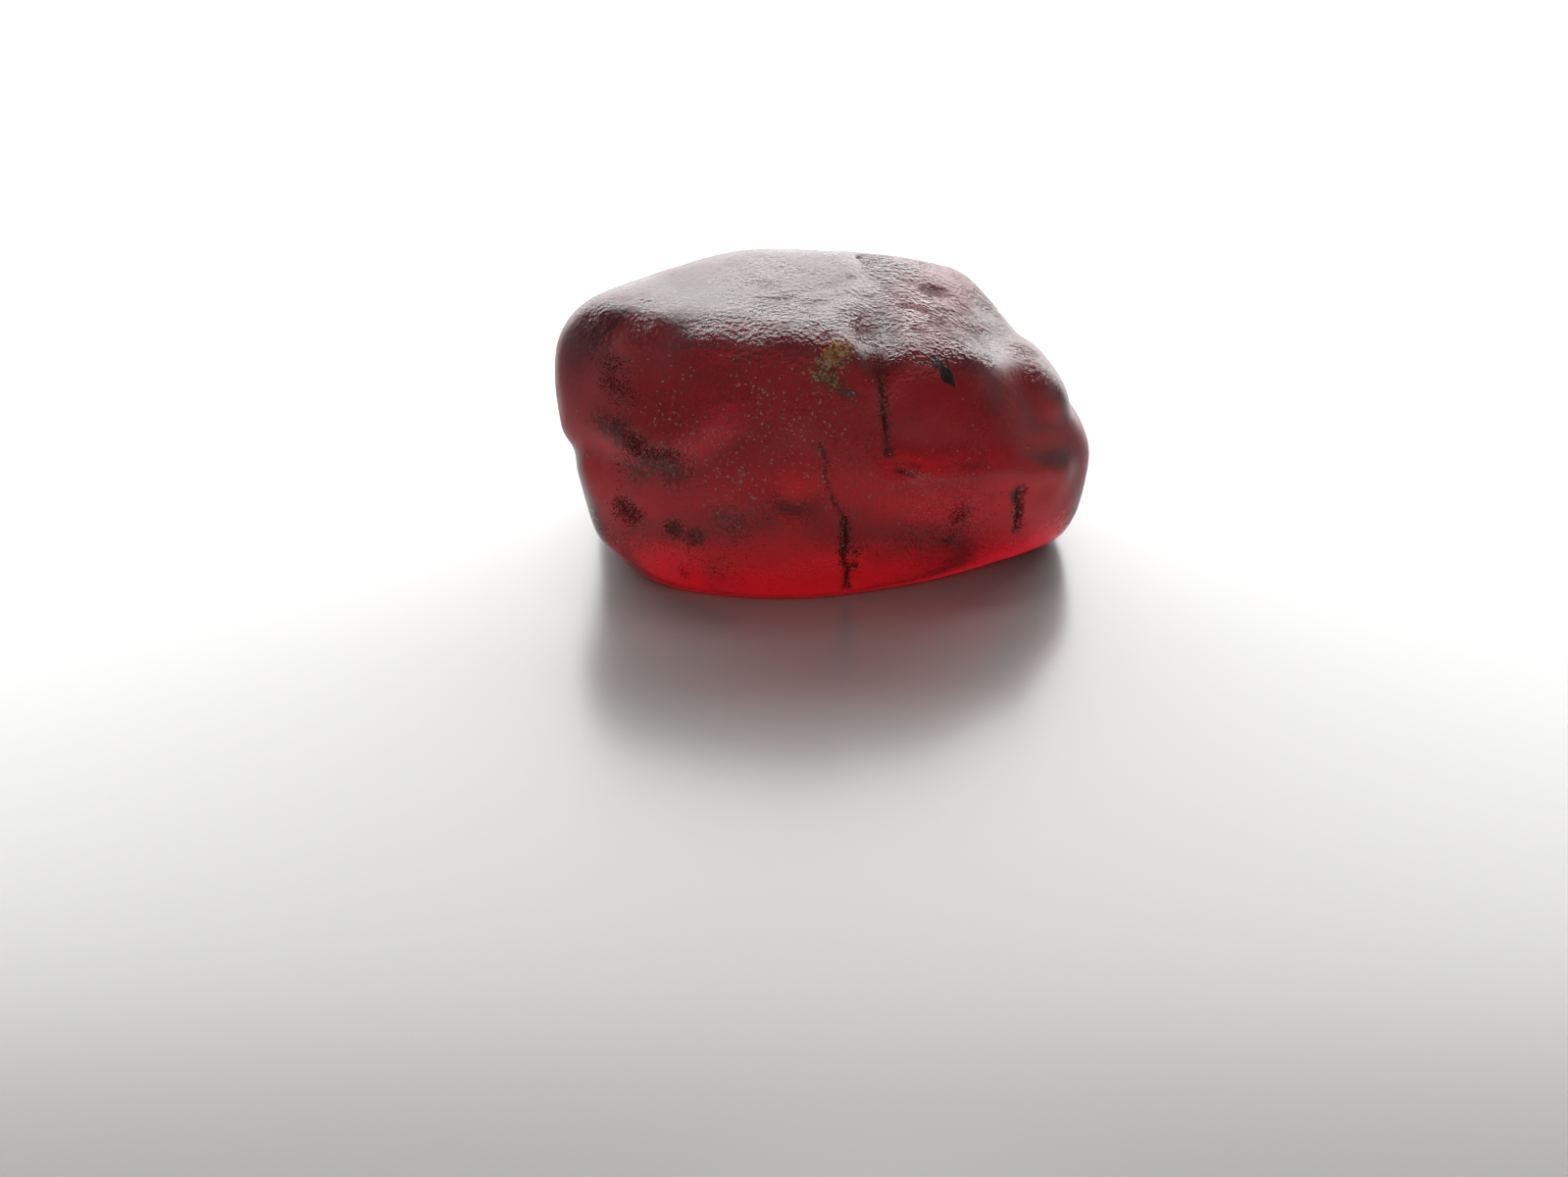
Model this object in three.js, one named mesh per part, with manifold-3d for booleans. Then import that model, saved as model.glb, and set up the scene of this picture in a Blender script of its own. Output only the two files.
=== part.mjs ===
// Garnet crystal: one loose, water-worn stone, rebuilt as a single closed solid.
// Units are millimetres, +Z is up, the stone lies on its flat worn side at Z = 0, and its front is at -Y.
//
// The shape is a crystal of flat faces whose edges have been rounded by wear. Each face is a plane given by
// where it looks and how far it lies from the crystal's heart. Wear is a soft blend of all the planes, and
// hollows, swellings and grooves are added to that blend. The skin is then found along rays from the heart.

import * as THREE from "three";
import { mergeVertices, toCreasedNormals } from "three/addons/utils/BufferGeometryUtils.js";
import Module from "manifold-3d";

const wasm = await Module();
wasm.setup();

// ---- driving dimensions, in millimetres and degrees ----

// Height of the crystal's heart above the resting side.
const HEART_HEIGHT = 6.5;

// How far the heart stands from the middle of the finished stone, so that the part is centred on the origin.
const HEART_OFFSET_X = -0.234;
const HEART_OFFSET_Y = -0.043;

// How softly the faces run into each other: the bigger, the rounder the worn edges.
const EDGE_WEAR = 0.4;

// Number of cuts along each edge of the starting ball. The skin has 20 x (cuts + 1) x (cuts + 1) triangles.
const SKIN_CUTS = 17;

// The starting ball is drawn out to about the stone's own proportions, so the triangles come out even.
const BALL_STRETCH = [13.0, 7.3, 6.6];

// The rays are searched between these two distances from the heart.
const RAY_START = 2.0;
const RAY_END = 20.0;
const RAY_HALVINGS = 40;

// Angle between two triangles above which the edge between them is drawn sharp.
const CREASE_ANGLE = 28;

// Worn crystal faces: turn around the stone (0 is the front, 90 the right end, 180 the back, 270 the left
// end), tilt up from level, and distance from the heart.
const FACES = [
  { name: "top", turn: 0, tilt: 83, distance: 6.2 },
  { name: "top right", turn: 60, tilt: 74, distance: 6.4 },
  { name: "front upper", turn: 0, tilt: 13, distance: 6.75 },
  { name: "front low left", turn: 352, tilt: -3, distance: 8.2 },
  { name: "front low right", turn: 12, tilt: -3, distance: 7.5 },
  { name: "front left", turn: 338, tilt: 0, distance: 9.0 },
  { name: "front left foot", turn: 317, tilt: -35, distance: 12.05 },
  { name: "left upright", turn: 270, tilt: 12, distance: 13.05 },
  { name: "left", turn: 270, tilt: -8, distance: 12.2 },
  { name: "left shoulder", turn: 270, tilt: 42, distance: 12.15 },
  { name: "left foot", turn: 290, tilt: -45, distance: 11.75 },
  { name: "left front", turn: 305, tilt: 0, distance: 12.0 },
  { name: "front left shoulder", turn: 340, tilt: 24, distance: 8.05 },
  { name: "front right shoulder", turn: 40, tilt: 28, distance: 8.9 },
  { name: "back left shoulder", turn: 222, tilt: 38, distance: 8.95 },
  { name: "back left", turn: 225, tilt: 0, distance: 13.4 },
  { name: "back", turn: 180, tilt: 3, distance: 7.3 },
  { name: "back shoulder", turn: 178, tilt: 45, distance: 7.85 },
  { name: "back foot", turn: 180, tilt: -40, distance: 9.3 },
  { name: "back left foot", turn: 235, tilt: -45, distance: 13.0 },
  { name: "right shoulder", turn: 92, tilt: 42, distance: 9.1 },
  { name: "right lobe", turn: 90, tilt: 30, distance: 11.35 },
  { name: "right", turn: 88, tilt: -9, distance: 13.1 },
  { name: "right foot", turn: 62, tilt: -47, distance: 13.2 },
  { name: "right underside", turn: 75, tilt: -72, distance: 10.3 },
  { name: "front right", turn: 50, tilt: 0, distance: 11.7 },
  { name: "front right foot", turn: 28, tilt: -30, distance: 9.85 },
  { name: "back right", turn: 135, tilt: 10, distance: 13.2 },
  { name: "back right shoulder", turn: 120, tilt: 26, distance: 10.85 },
  { name: "right back foot", turn: 108, tilt: -44, distance: 12.8 },
  { name: "back right foot", turn: 130, tilt: -45, distance: 12.5 },
  { name: "resting side", turn: 0, tilt: -90, distance: 6.75 },
];

// Hollows (depth above zero) and swellings (depth below zero): middle, reach along X, Y and Z, and depth.
const SPOTS = [
  { name: "right lobe", middle: [10.6, -1.5, 9.1], reach: [1.7, 3.6, 1.8], depth: -0.5 },
  { name: "shoulder notch", middle: [8.0, -1.0, 11.7], reach: [1.5, 4.0, 1.5], depth: 0.7 },
  { name: "left waist", middle: [-12.0, -2.0, 3.4], reach: [2.4, 3.6, 2.2], depth: 0.4 },
  { name: "upper left swelling", middle: [-7.3, -6.4, 9.2], reach: [4.0, 3.0, 3.0], depth: -0.4 },
  { name: "clear facet", middle: [4.7, -6.4, 8.5], reach: [2.7, 2.5, 2.9], depth: 0.4 },
  { name: "front edge hollow", middle: [2.3, -4.6, 12.0], reach: [1.0, 2.8, 1.6], depth: 0.5 },
  { name: "facet under the ridge", middle: [6.5, -1.8, 11.2], reach: [1.6, 1.6, 1.2], depth: 0.3 },
  { name: "shell-shaped chip", middle: [5.3, 1.0, 11.9], reach: [0.7, 0.5, 0.6], depth: 0.2 },
  { name: "arched panel", middle: [-1.3, -7.0, 6.1], reach: [1.2, 1.5, 2.2], depth: 0.15 },
  { name: "back left hollow", middle: [-8.0, 7.3, 3.6], reach: [4.5, 3.0, 3.6], depth: 1.1 },
  { name: "back right hollow", middle: [9.0, 7.5, 3.2], reach: [3.0, 3.0, 2.8], depth: 0.6 },
];

// Grooves (depth above zero) and raised bands (depth below zero), each along a path of straight steps.
const GROOVES = [
  {
    name: "edge of the upper left swelling",
    path: [
      [-12.9, 4.0, 3.6], [-12.5, 1.0, 4.6], [-11.9, -2.0, 5.0], [-11.2, -4.6, 6.6], [-9.0, -6.6, 6.3],
      [-6.6, -7.2, 6.4], [-5.0, -7.2, 7.0], [-3.9, -7.1, 8.0], [-3.5, -7.0, 9.6], [-4.2, -6.0, 11.0],
    ],
    reach: 0.8,
    depth: 0.3,
  },
  {
    name: "band under the clear facet",
    path: [[3.6, -6.9, 6.0], [7.8, -6.3, 6.0], [11.2, -4.8, 5.4]],
    reach: 0.9,
    depth: -0.25,
  },
  {
    name: "edge of the right lobe",
    path: [[8.6, -0.5, 10.9], [8.1, -4.8, 10.3], [7.2, -6.3, 8.8], [7.0, -6.5, 6.9]],
    reach: 0.8,
    depth: 0.3,
  },
  {
    name: "step across the top",
    path: [[2.2, 3.3, 12.9], [2.1, -3.3, 12.2]],
    reach: 0.7,
    depth: 0.15,
  },
];

// ---- the worn surface ----

// Outward direction of a face from its turn around the stone and its tilt up from level.
function faceDirection(turn, tilt) {
  const turnRad = THREE.MathUtils.degToRad(turn);
  const tiltRad = THREE.MathUtils.degToRad(tilt);
  return new THREE.Vector3(
    Math.cos(tiltRad) * Math.sin(turnRad),
    -Math.cos(tiltRad) * Math.cos(turnRad),
    Math.sin(tiltRad),
  );
}

const FACE_DIRECTIONS = FACES.map((face) => faceDirection(face.turn, face.tilt));

// Height above the softly blended faces. The blend is the logarithm of the sum of the exponentials, which
// follows the highest plane and rounds each edge where two planes are nearly equal.
function blendedFaces(point) {
  const heights = FACES.map((face, i) => {
    const fromHeart = point.z - HEART_HEIGHT;
    const along = FACE_DIRECTIONS[i].x * point.x + FACE_DIRECTIONS[i].y * point.y + FACE_DIRECTIONS[i].z * fromHeart;
    return (along - face.distance) / EDGE_WEAR;
  });
  const highest = Math.max(...heights);
  const sum = heights.reduce((total, height) => total + Math.exp(height - highest), 0);
  return EDGE_WEAR * (highest + Math.log(sum));
}

// A hollow or swelling: full depth over its middle, fading out at its reach.
function spotDepth(spot, point) {
  const x = (point.x - spot.middle[0]) / spot.reach[0];
  const y = (point.y - spot.middle[1]) / spot.reach[1];
  const z = (point.z - spot.middle[2]) / spot.reach[2];
  const spread = x * x + y * y + z * z;
  return spot.depth * Math.exp(-spread * spread);
}

// A groove or band: its depth fades as a bell curve with the distance from its path.
function grooveDepth(groove, point) {
  const step = new THREE.Line3();
  const nearest = new THREE.Vector3();
  let closest = Infinity;
  for (let i = 0; i + 1 < groove.path.length; i += 1) {
    step.start.fromArray(groove.path[i]);
    step.end.fromArray(groove.path[i + 1]);
    step.closestPointToPoint(point, true, nearest);
    closest = Math.min(closest, nearest.distanceToSquared(point));
  }
  return groove.depth * Math.exp(-closest / (groove.reach * groove.reach));
}

// Below zero inside the stone, zero on its skin, above zero outside.
function heightAboveSkin(point) {
  let height = blendedFaces(point);
  for (const spot of SPOTS) height += spotDepth(spot, point);
  for (const groove of GROOVES) height += grooveDepth(groove, point);
  return height;
}

// Where the ray from the heart in one direction comes out of the stone, by halving the search each time.
function skinPoint(direction) {
  const heart = new THREE.Vector3(0, 0, HEART_HEIGHT);
  const point = new THREE.Vector3();
  let inside = RAY_START;
  let outside = RAY_END;
  for (let i = 0; i < RAY_HALVINGS; i += 1) {
    const middle = (inside + outside) / 2;
    point.copy(heart).addScaledVector(direction, middle);
    if (heightAboveSkin(point) < 0) inside = middle;
    else outside = middle;
  }
  return point.copy(heart).addScaledVector(direction, inside);
}

// ---- the solid ----

// A ball of even triangles, drawn out to the stone's proportions and then laid onto the worn surface.
function wornSkin() {
  let ball = new THREE.IcosahedronGeometry(1, SKIN_CUTS);
  ball.deleteAttribute("normal");
  ball.deleteAttribute("uv");
  ball = mergeVertices(ball, 1e-5);
  const spots = ball.getAttribute("position");
  const direction = new THREE.Vector3();
  for (let i = 0; i < spots.count; i += 1) {
    direction.fromBufferAttribute(spots, i);
    direction.set(
      direction.x * BALL_STRETCH[0],
      direction.y * BALL_STRETCH[1],
      direction.z * BALL_STRETCH[2],
    );
    direction.normalize();
    const point = skinPoint(direction);
    spots.setXYZ(i, point.x, point.y, point.z);
  }
  return ball;
}

// The same surface as a closed body that can be cut.
function toBody(geometry) {
  const body = new wasm.Mesh({
    numProp: 3,
    vertProperties: new Float32Array(geometry.getAttribute("position").array),
    triVerts: new Uint32Array(geometry.getIndex().array),
  });
  return new wasm.Manifold(body);
}

// Back from a cut body to a drawable surface with soft edges, sharp only around the resting side.
function toGeometry(body) {
  const mesh = body.getMesh();
  let geometry = new THREE.BufferGeometry();
  geometry.setAttribute("position", new THREE.BufferAttribute(new Float32Array(mesh.vertProperties), 3));
  geometry.setIndex(new THREE.BufferAttribute(new Uint32Array(mesh.triVerts), 1));
  geometry = toCreasedNormals(geometry, THREE.MathUtils.degToRad(CREASE_ANGLE));
  return geometry;
}

// The worn skin with everything below the resting side cut off, which leaves one true flat face to lie on.
function garnetCrystal() {
  const skin = toBody(wornSkin());
  const rested = skin.trimByPlane([0, 0, 1], 0);
  const centred = rested.translate([HEART_OFFSET_X, HEART_OFFSET_Y, 0]);
  return toGeometry(centred);
}

// ---- the part ----

const garnet = new THREE.MeshStandardMaterial({
  name: "garnet",
  color: new THREE.Color(0.42, 0.03, 0.06),
  roughness: 0.35,
  metalness: 0,
});

const part = new THREE.Group();
part.name = "garnet_crystal_part";

const crystal = new THREE.Mesh(garnetCrystal(), garnet);
crystal.name = "garnet_crystal";
part.add(crystal);

export default part;
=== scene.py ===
"""Garnet crystal: the looks of one loose, water-worn, see-through red stone lying on a pale floor.

The stone's skin is worked out again from the same worn faces, hollows and grooves as the fixed frame, on a
much finer net, and carries the pits, scales and hairline cracks that the frame leaves out. What is sealed in
the stone is made here too. Shapes are worked out in millimetres from the crystal's heart and put into the
meshes in metres, in the frame's own place.
"""

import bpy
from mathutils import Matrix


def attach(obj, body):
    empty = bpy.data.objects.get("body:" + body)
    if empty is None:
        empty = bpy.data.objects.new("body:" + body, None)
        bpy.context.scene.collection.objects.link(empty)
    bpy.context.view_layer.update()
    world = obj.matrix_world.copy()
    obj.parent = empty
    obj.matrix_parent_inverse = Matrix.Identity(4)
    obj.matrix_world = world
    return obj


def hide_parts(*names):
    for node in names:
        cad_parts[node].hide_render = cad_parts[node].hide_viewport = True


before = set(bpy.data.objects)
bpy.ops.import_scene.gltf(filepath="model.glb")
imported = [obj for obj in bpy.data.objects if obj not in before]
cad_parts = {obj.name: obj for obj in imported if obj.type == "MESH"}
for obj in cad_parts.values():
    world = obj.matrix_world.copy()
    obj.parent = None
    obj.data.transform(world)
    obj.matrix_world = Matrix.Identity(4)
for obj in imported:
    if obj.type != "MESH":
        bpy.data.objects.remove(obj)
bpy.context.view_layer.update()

import math

import bpy
import numpy as np
from bpy.props import FloatProperty, FloatVectorProperty, IntProperty, PointerProperty, StringProperty

bl_info = {
    "name": "Garnet Crystal",
    "version": (1, 0, 0),
    "blender": (4, 5, 0),
    "location": "View3D > Sidebar > Garnet",
    "description": "Builds a water-worn garnet crystal, what is sealed in it, and a plain stage",
    "category": "Object",
}

MM = 0.001

# ---- the worn crystal, in millimetres from its heart; the same numbers as the frame's ----

HEART = np.array([0.0, 0.0, 6.5])
HEART_OFFSET = np.array([-0.234, -0.043, 0.0])
EDGE_WEAR = 0.4
BALL_STRETCH = np.array([13.0, 7.3, 6.6])

# Turn around the stone (0 front, 90 right end, 180 back, 270 left end), tilt up, distance from the heart.
FACES = [
    (0, 83, 6.2),  # top
    (60, 74, 6.4),  # top right
    (0, 13, 6.75),  # front upper
    (352, -3, 8.2),  # front low left
    (12, -3, 7.5),  # front low right
    (338, 0, 9.0),  # front left
    (317, -35, 12.05),  # front left foot
    (270, 12, 13.05),  # left upright
    (270, -8, 12.2),  # left
    (270, 42, 12.15),  # left shoulder
    (290, -45, 11.75),  # left foot
    (305, 0, 12.0),  # left front
    (340, 24, 8.05),  # front left shoulder
    (40, 28, 8.9),  # front right shoulder
    (222, 38, 8.95),  # back left shoulder
    (225, 0, 13.4),  # back left
    (180, 3, 7.3),  # back
    (178, 45, 7.85),  # back shoulder
    (180, -40, 9.3),  # back foot
    (235, -45, 13.0),  # back left foot
    (92, 42, 9.1),  # right shoulder
    (90, 30, 11.35),  # right lobe
    (88, -9, 13.1),  # right
    (62, -47, 13.2),  # right foot
    (75, -72, 10.3),  # right underside
    (50, 0, 11.7),  # front right
    (28, -30, 9.85),  # front right foot
    (135, 10, 13.2),  # back right
    (120, 26, 10.85),  # back right shoulder
    (108, -44, 12.8),  # right back foot
    (130, -45, 12.5),  # back right foot
    (0, -90, 6.75),  # resting side
]

# Middle, reach along X, Y and Z, and depth: hollows above zero, swellings below.
SPOTS = [
    ((10.6, -1.5, 9.1), (1.7, 3.6, 1.8), -0.5),  # right lobe
    ((8.0, -1.0, 11.7), (1.5, 4.0, 1.5), 0.7),  # shoulder notch
    ((-12.0, -2.0, 3.4), (2.4, 3.6, 2.2), 0.4),  # left waist
    ((-7.3, -6.4, 9.2), (4.0, 3.0, 3.0), -0.4),  # upper left swelling
    ((4.7, -6.4, 8.5), (2.7, 2.5, 2.9), 0.4),  # clear facet
    ((2.3, -4.6, 12.0), (1.0, 2.8, 1.6), 0.5),  # front edge hollow
    ((6.5, -1.8, 11.2), (1.6, 1.6, 1.2), 0.3),  # facet under the ridge
    ((5.3, 1.0, 11.9), (0.7, 0.5, 0.6), 0.2),  # shell-shaped chip
    ((-1.3, -7.0, 6.1), (1.2, 1.5, 2.2), 0.15),  # arched panel
    ((-8.0, 7.3, 3.6), (4.5, 3.0, 3.6), 1.1),  # back left hollow
    ((9.0, 7.5, 3.2), (3.0, 3.0, 2.8), 0.6),  # back right hollow
]

# Path, reach and depth: grooves above zero, raised bands below.
GROOVES = [
    (
        (
            (-12.9, 4.0, 3.6), (-12.5, 1.0, 4.6), (-11.9, -2.0, 5.0), (-11.2, -4.6, 6.6), (-9.0, -6.6, 6.3),
            (-6.6, -7.2, 6.4), (-5.0, -7.2, 7.0), (-3.9, -7.1, 8.0), (-3.5, -7.0, 9.6), (-4.2, -6.0, 11.0),
        ),
        0.8,
        0.3,
    ),  # edge of the upper left swelling
    (((3.6, -6.9, 6.0), (7.8, -6.3, 6.0), (11.2, -4.8, 5.4)), 0.9, -0.25),  # band under the clear facet
    (((8.6, -0.5, 10.9), (8.1, -4.8, 10.3), (7.2, -6.3, 8.8), (7.0, -6.5, 6.9)), 0.8, 0.3),  # edge of lobe
    (((2.2, 3.3, 12.9), (2.1, -3.3, 12.2)), 0.7, 0.15),  # step across the top
]

# ---- fine marks that only the looks carry, in millimetres from the heart ----

# Cracks that reach the skin: path, half width, depth of the groove, how dark the rust in it is.
LOWER_CRACK = (
    (-0.3, -6.6, 7.6), (0.0, -6.8, 6.8), (0.1, -7.0, 5.7), (0.5, -7.1, 4.8), (0.9, -7.1, 4.2),
    (1.0, -7.1, 3.2), (0.85, -7.1, 2.4), (1.1, -7.1, 1.4), (1.05, -7.0, 0.5),
)
UPPER_CRACK = (
    (2.1, -4.6, 11.0), (2.3, -5.7, 10.1), (2.6, -6.1, 8.7), (2.7, -6.3, 7.8), (2.8, -6.4, 7.0),
    (3.3, -6.6, 6.4), (3.9, -6.6, 6.2),
)
RIGHT_CRACK = ((9.0, -5.8, 5.0), (9.0, -5.6, 4.0), (9.0, -5.4, 3.2), (9.1, -5.3, 2.3))
CRACKS = [
    (LOWER_CRACK[:5], 0.10, 0.03, 0.7),
    (LOWER_CRACK[4:], 0.16, 0.06, 0.9),
    (UPPER_CRACK[:3], 0.20, 0.04, 0.6),
    (UPPER_CRACK[2:5], 0.15, 0.08, 0.9),
    (UPPER_CRACK[4:], 0.10, 0.03, 0.4),
    (RIGHT_CRACK, 0.14, 0.10, 0.9),
]

# Soft rust stains in the skin: middle, reach and darkness. The belt lies in the left groove.
STAINS = [
    ((-10.1, -4.5, 10.5), 0.6, 0.6),
    ((-10.1, -5.7, 9.9), 0.25, 0.6),
    ((-9.2, -6.1, 9.6), 0.3, 0.7),
    ((-9.1, -6.2, 8.1), 0.35, 0.7),
    ((-6.9, -6.6, 7.1), 0.35, 0.8),
    ((-6.6, -6.5, 6.2), 0.8, 0.8),
    ((-8.3, -6.2, 6.0), 0.6, 0.7),
    ((-10.9, -5.2, 8.2), 0.2, 0.8),
    ((-9.0, -6.0, 4.1), 0.5, 1.0),
    ((-8.6, -6.1, 3.7), 0.4, 0.9),
    ((-6.7, -6.6, 3.5), 0.4, 1.0),
    ((-5.7, -6.9, 3.2), 0.4, 1.0),
    ((-4.2, -7.1, 3.8), 0.8, 0.4),
    ((-6.9, -6.4, 1.1), 0.3, 0.5),
    ((-4.8, -6.9, 1.4), 0.6, 0.35),
    ((6.2, -6.2, 3.9), 0.45, 0.8),
    ((5.8, -6.2, 2.6), 0.25, 0.6),
    ((9.3, -5.3, 9.5), 0.25, 0.5),
    ((10.2, -5.3, 8.5), 0.3, 0.7),
]
BELT = ((-10.3, -5.6, 8.0), (-9.5, -6.0, 7.8), (-8.6, -6.3, 7.2), (-7.8, -6.4, 6.7), (-7.0, -6.5, 6.4))

# Rust crumbs scattered on the skin about a path: the path, reach about it, number of crumbs, crumb size.
RUST_CRUMBS = [
    (BELT, 0.34, 1900, 0.02),
    (((-8.9, -6.1, 6.8), (-8.6, -6.0, 6.0), (-8.3, -6.2, 5.3)), 0.42, 500, 0.018),
    (((-10.2, -4.8, 10.1), (-9.8, -5.5, 9.7), (-9.2, -5.8, 9.5)), 0.28, 400, 0.022),
    (((-10.1, -4.3, 10.7), (-9.4, -5.2, 10.4)), 0.30, 200, 0.02),
    (((-9.2, -5.9, 4.3), (-8.6, -6.1, 3.7)), 0.30, 500, 0.023),
    (((-6.7, -6.6, 3.6), (-6.65, -6.6, 3.4)), 0.22, 300, 0.023),
    (((-5.95, -6.8, 3.3), (-5.6, -6.9, 3.0)), 0.24, 320, 0.023),
    (((-7.0, -6.6, 7.15), (-6.7, -6.6, 6.9)), 0.22, 220, 0.022),
    (((-6.9, -6.5, 6.5), (-6.2, -6.6, 6.0)), 0.50, 300, 0.018),
    (((-4.6, -7.0, 3.9), (-3.5, -7.1, 3.6)), 0.55, 420, 0.018),
    (((-6.6, -6.7, 1.45), (-6.3, -6.7, 1.35), (-6.2, -6.7, 1.0)), 0.12, 90, 0.02),
    (((-5.3, -6.9, 1.9), (-4.4, -7.1, 1.2)), 0.50, 240, 0.017),
    (LOWER_CRACK[4:7], 0.15, 300, 0.022),
    (LOWER_CRACK[6:], 0.15, 170, 0.022),
    (LOWER_CRACK[:5], 0.16, 180, 0.017),
    (((1.35, -7.0, 1.9), (1.5, -7.0, 1.65)), 0.12, 90, 0.024),
    (((1.3, -7.0, 2.6), (1.5, -7.0, 2.4)), 0.12, 70, 0.022),
    (UPPER_CRACK[1:5], 0.16, 330, 0.02),
    (UPPER_CRACK[:2], 0.22, 220, 0.02),
    (RIGHT_CRACK, 0.13, 260, 0.024),
    (((6.2, -6.2, 4.2), (6.1, -6.2, 3.5)), 0.28, 240, 0.02),
    (((5.9, -6.2, 2.7), (5.6, -6.2, 2.5)), 0.20, 90, 0.018),
]

# The amber mineral just under the skin and the pale grains on it, with the same four values as the rust
# crumbs, and the dark lens under the skin, as a path.
AMBER = [
    (((0.6, -5.5, 11.5), (0.3, -5.8, 11.1)), 0.32, 170, 0.06),
    (((-0.3, -6.0, 10.7), (0.2, -6.1, 10.4)), 0.30, 170, 0.06),
    (((0.2, -6.1, 10.3), (0.7, -6.2, 9.9), (1.2, -6.2, 9.6)), 0.14, 120, 0.05),
]
DARK_LENS = ((4.3, -4.6, 10.8), (4.6, -4.8, 10.4), (5.0, -5.0, 10.0), (5.4, -5.1, 9.5))
PALE_GRAINS = [
    (((-6.0, -6.6, 9.5), (-2.0, -6.8, 8.5), (2.0, -6.8, 6.5)), 1.5, 420, 0.032),
    (((-8.0, -6.0, 8.5), (-4.0, -6.8, 5.0)), 1.2, 180, 0.03),
    (((-3.6, -6.3, 10.6), (-2.2, -6.4, 10.0), (-1.4, -6.5, 9.0)), 0.7, 30, 0.035),
    (((-4.6, -6.9, 6.4), (-3.4, -7.0, 5.9), (-2.9, -7.0, 5.2)), 0.4, 44, 0.04),
    (((-0.3, -5.8, 11.0), (1.1, -5.6, 11.3)), 0.2, 30, 0.04),
    (((0.9, -6.2, 9.7), (1.3, -6.2, 9.55)), 0.08, 14, 0.045),
    (((3.6, -6.7, 6.1), (4.6, -6.5, 6.0)), 0.12, 34, 0.03),
    (((3.0, -6.8, 4.5), (8.5, -6.0, 7.5)), 1.0, 130, 0.028),
]

# Where wear has scaled the skin into small bright points: the front top edge, the scaly facet, the ridge to
# the right of it, a chipped line on the right end, and spots given by middle, reach and strength.
FRONT_EDGE = (
    (-10.1, -2.9, 11.9), (-8.7, -3.5, 11.8), (-6.4, -4.2, 11.9), (-4.0, -4.6, 12.0), (-2.0, -4.8, 12.0),
    (-0.3, -4.8, 11.9), (1.0, -4.4, 11.8), (1.9, -2.5, 11.9),
)
SCALY_FACET = ((3.1, 3.3, 12.6), (3.4, 2.0, 12.5), (3.8, 0.3, 12.1), (4.3, -1.5, 11.6), (4.8, -3.3, 11.1))
RIDGE = ((5.1, -3.2, 11.3), (5.9, -3.0, 11.0), (6.8, -1.2, 10.7), (7.6, -0.3, 10.5))
RIGHT_LINE = ((10.2, -5.4, 7.8), (10.8, -5.0, 6.7), (11.3, -4.9, 5.5))
BRIGHT_SPOTS = [
    ((5.9, -4.8, 10.8), 0.6, 0.8),
    ((6.7, -5.5, 10.0), 0.6, 0.7),
    ((9.1, -1.6, 10.1), 0.9, 0.9),
    ((9.9, -3.7, 9.7), 0.8, 0.9),
    ((-9.8, -4.0, 12.2), 0.35, 1.0),
    ((-8.0, -2.2, 12.4), 0.25, 0.9),
]

# Shallow folds in the skin of the top.
FOLDS = [
    ((-0.8, -1.1, 12.5), (0.2, -0.6, 12.5), (1.0, 0.2, 12.6), (1.3, 0.8, 12.6)),
    ((0.3, -1.6, 12.4), (1.2, -1.0, 12.4), (1.9, -0.8, 12.2)),
    ((-2.6, -2.2, 12.4), (-1.4, -1.9, 12.4), (-0.3, -2.2, 12.3)),
    ((5.0, 0.9, 11.9), (5.7, 0.3, 11.7), (7.0, 0.6, 11.0)),
    ((6.0, -1.6, 11.1), (7.0, -0.9, 10.8), (7.8, -0.4, 10.4)),
]

# Where the skin is clearer, crushed, hazier or finely crazed with a painted red glow: middle and reach, and
# for lists a share.
CLEAR_FACET = ((4.7, -6.3, 8.5), (2.6, 2.5, 2.7))
ARCHED_PANEL = ((-1.3, -6.9, 6.0), (1.0, 1.5, 2.0))
CRUSHED_LOBE = ((9.3, -2.5, 9.9), (1.6, 2.6, 1.4))
HAZY_SPOTS = [
    ((-11.0, -5.0, 8.0), (2.0, 3.0, 4.0), 0.2),  # left end
    ((-10.0, -5.5, 4.0), (1.2, 2.0, 1.6), 0.3),  # left waist
    ((10.3, -4.5, 8.0), (1.6, 2.5, 3.0), 0.1),  # right lobe
]
HAZY_BAND = ((5.0, -6.4, 6.0), (7.6, -6.2, 5.9))
# Crazed spots make the skin rougher and less clear, and carry a painted red glow that stands in for red light
# leaving the stone.
CRAZE_AND_PAINTED_GLOW_SPOTS = [
    ((-10.7, -4.9, 9.3), (1.2, 1.6, 1.6), 1.0),  # left end, above the groove
    ((-11.0, -4.8, 7.0), (1.0, 1.6, 0.8), 0.8),  # left end, in the groove
    ((-10.4, -5.2, 5.0), (0.9, 1.6, 1.2), 0.5),  # left waist
    ((8.4, -4.6, 8.9), (0.8, 1.4, 1.3), 0.6),  # right lobe
    ((10.2, -4.8, 4.4), (0.8, 1.4, 0.8), 0.6),  # beside the right crack
    ((12.3, -2.5, 6.5), (0.8, 2.5, 3.0), 0.5),  # right edge
    ((-12.3, -2.5, 8.0), (0.8, 2.5, 4.0), 0.5),  # left edge
]

# Dull minerals: dark colour, light colour and roughness.
MINERALS = {
    "rust_film": ("#5A2418", "#A04A2C", 0.9),
    "rust_crust": ("#3A1510", "#74321F", 0.7),
    "amber_mineral": ("#D0682C", "#F0CE8C", 0.5),
    "dark_lens_mineral": ("#2A1A0A", "#5E4220", 0.9),
    "pale_mineral": ("#C9A5A0", "#F0DDD8", 0.5),
}

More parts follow.
